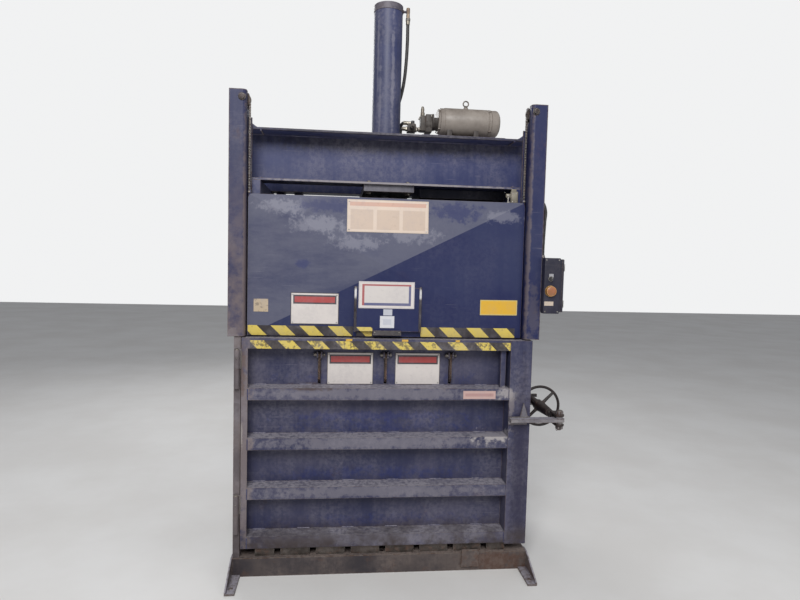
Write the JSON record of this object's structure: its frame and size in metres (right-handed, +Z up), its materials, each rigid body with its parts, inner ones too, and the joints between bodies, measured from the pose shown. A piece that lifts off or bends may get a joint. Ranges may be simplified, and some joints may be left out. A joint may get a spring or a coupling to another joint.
{
  "type": "recycling baler",
  "caption": "Free-standing vertical baler: hydraulic ram and ribbed platen above a chamber with a lifting feed gate and a side-hung baling door with a handwheel latch.",
  "frame": {"origin": "centre of the four floor-anchor holes, at floor level", "axes": "+X to the right of a person facing the door, -Y out of the door's front face, +Z up"},
  "size_m": [2.121, 1.267, 3.54],
  "materials": {
    "frame_blue": "scuffed satin",
    "beam_blue": "satin, dusty",
    "door_blue": "scuffed satin, dusty ledges",
    "gate_blue": "satin",
    "dusty_base": "worn, dusty",
    "worn_floor": "worn, rusty",
    "bolt_steel": "dull",
    "cylinder_blue": "satin",
    "tank_blue": "satin, dusty top",
    "motor_grey": "semi-gloss",
    "cast_grey": "painted casting",
    "hose_rubber": "matt",
    "box_grey": "satin",
    "cover_grey": "satin",
    "chain_steel": "oily",
    "rod_chrome": "polished",
    "dark_steel": "worn edges",
    "latch_grey": "worn",
    "dog_rust": "rusty",
    "wheel_black": "black enamel, worn rim",
    "button_red": "faded",
    "black_plastic": "matt"
  },
  "bodies": {
    "frame": {"front_sill": "dusty_base", "rear_sill": "frame_blue", "floor_bearers": "frame_blue", "chamber_floor": "worn_floor", "front_feet": "dusty_base", "rear_feet": "dusty_base", "left_wall": "frame_blue", "right_wall": "frame_blue", "back_wall": "frame_blue", "hinge_post": "frame_blue", "left_guide": "frame_blue", "right_guide": "frame_blue", "front_beam": "beam_blue", "rear_beam": "beam_blue", "cylinder_mount": "beam_blue", "mount_bolts": "bolt_steel", "cylinder_barrel": "cylinder_blue", "cylinder_cap": "cylinder_blue", "oil_tank": "tank_blue", "motor_shell": "motor_grey", "motor_fan_cover": "motor_grey", "motor_mount": "tank_blue", "lifting_eye": "bolt_steel", "pump": "cast_grey", "pump_adapter": "cast_grey", "relief_valve": "bolt_steel", "valve_manifold": "cast_grey", "upper_hose": "hose_rubber", "lower_hose": "hose_rubber", "control_box": "box_grey", "control_cover": "cover_grey", "conduit": "hose_rubber", "limit_switch": "box_grey", "wheel_axles": "bolt_steel", "lifting_chains": "chain_steel", "weight_chains": "chain_steel", "chain_wraps": "chain_steel", "latch_keeper": "frame_blue"},
    "ram": {"platen": "worn_floor", "piston_rod": "rod_chrome"},
    "gate": {"gate_panel": "gate_blue", "gate_grip": "dark_steel", "gate_shoes": "dark_steel"},
    "left_wheel": {"left_chain_wheel": "cast_grey"},
    "right_wheel": {"right_chain_wheel": "cast_grey"},
    "left_weight": {"left_counterweight": "dark_steel"},
    "right_weight": {"right_counterweight": "dark_steel"},
    "door": {"bale_door": "door_blue", "door_knuckles": "bolt_steel", "latch_bracket": "latch_grey", "dog_pins": "bolt_steel"},
    "left_dog_body": {"left_dog": "dog_rust"},
    "middle_dog_body": {"middle_dog": "dog_rust"},
    "right_dog_body": {"right_dog": "dog_rust"},
    "latch": {"latch_fork": "wheel_black"},
    "wheel": {"handwheel": "wheel_black"},
    "button": {"stop_button": "button_red"},
    "selector": {"selector_knob": "black_plastic"},
    "lever": {"switch_lever": "bolt_steel"},
    "rotor": {"motor_shaft": "bolt_steel"}
  },
  "joints": [
    {"name": "platen_slide", "type": "slide", "parent": "frame", "child": "ram", "axis": [0, 0, -1], "range_m": [0, 1.08]},
    {"name": "gate_slide", "type": "slide", "parent": "frame", "child": "gate", "axis": [0, 0, 1], "range_m": [0, 0.48], "deforming": ["lifting_chains"]},
    {"name": "left_wheel_spin", "type": "hinge", "parent": "frame", "child": "left_wheel", "pos_m": [-0.853, -0.364, 2.792], "axis": [0, -1, 0], "range_deg": [0, 787]},
    {"name": "right_wheel_spin", "type": "hinge", "parent": "frame", "child": "right_wheel", "pos_m": [0.853, -0.364, 2.792], "axis": [0, 1, 0], "range_deg": [0, 787]},
    {"name": "left_weight_slide", "type": "slide", "parent": "frame", "child": "left_weight", "axis": [0, 0, -1], "range_m": [0, 0.48]},
    {"name": "right_weight_slide", "type": "slide", "parent": "frame", "child": "right_weight", "axis": [0, 0, -1], "range_m": [0, 0.48]},
    {"name": "door_hinge", "type": "hinge", "parent": "frame", "child": "door", "pos_m": [-0.87, -0.444, 0.8], "axis": [0, 0, -1], "range_deg": [0, 160]},
    {"name": "latch_swing", "type": "hinge", "parent": "door", "child": "latch", "pos_m": [1.058, -0.474, 0.948], "axis": [0, 0, -1], "range_deg": [0, 100]},
    {"name": "handwheel_spin", "type": "hinge", "parent": "latch", "child": "wheel", "pos_m": [1.058, -0.2, 0.948], "axis": [0, -1, 0], "continuous": true},
    {"name": "stop_push", "type": "slide", "parent": "frame", "child": "button", "axis": [0, 1, 0], "range_m": [0, 0.006], "stiffness_N_per_m": 800},
    {"name": "selector_turn", "type": "hinge", "parent": "frame", "child": "selector", "pos_m": [0.965, -0.49, 1.806], "axis": [0, -1, 0], "range_deg": [-45, 45]},
    {"name": "switch_lever_swing", "type": "hinge", "parent": "frame", "child": "lever", "pos_m": [0.73, -0.33, 2.305], "axis": [0, 1, 0], "range_deg": [0, 35], "stiffness_Nm_per_rad": 0.2},
    {"name": "motor_spin", "type": "hinge", "parent": "frame", "child": "rotor", "pos_m": [0.36, 0.116, 2.833], "axis": [1, 0, 0], "continuous": true},
    {"name": "left_dog_swing", "type": "hinge", "parent": "door", "child": "left_dog_body", "pos_m": [-0.4, -0.348, 1.318], "axis": [-1, 0, 0], "range_deg": [0, 35], "stiffness_Nm_per_rad": 4},
    {"name": "middle_dog_swing", "type": "hinge", "parent": "door", "child": "middle_dog_body", "pos_m": [0, -0.348, 1.318], "axis": [-1, 0, 0], "range_deg": [0, 35], "stiffness_Nm_per_rad": 4},
    {"name": "right_dog_swing", "type": "hinge", "parent": "door", "child": "right_dog_body", "pos_m": [0.4, -0.348, 1.318], "axis": [-1, 0, 0], "range_deg": [0, 35], "stiffness_Nm_per_rad": 4}
  ],
  "couplings": [
    {"joint": "left_wheel_spin", "follows": "gate_slide", "rad_per_m": 28.571},
    {"joint": "right_wheel_spin", "follows": "gate_slide", "rad_per_m": 28.571},
    {"joint": "left_weight_slide", "follows": "gate_slide", "ratio": 1},
    {"joint": "right_weight_slide", "follows": "gate_slide", "ratio": 1}
  ]
}
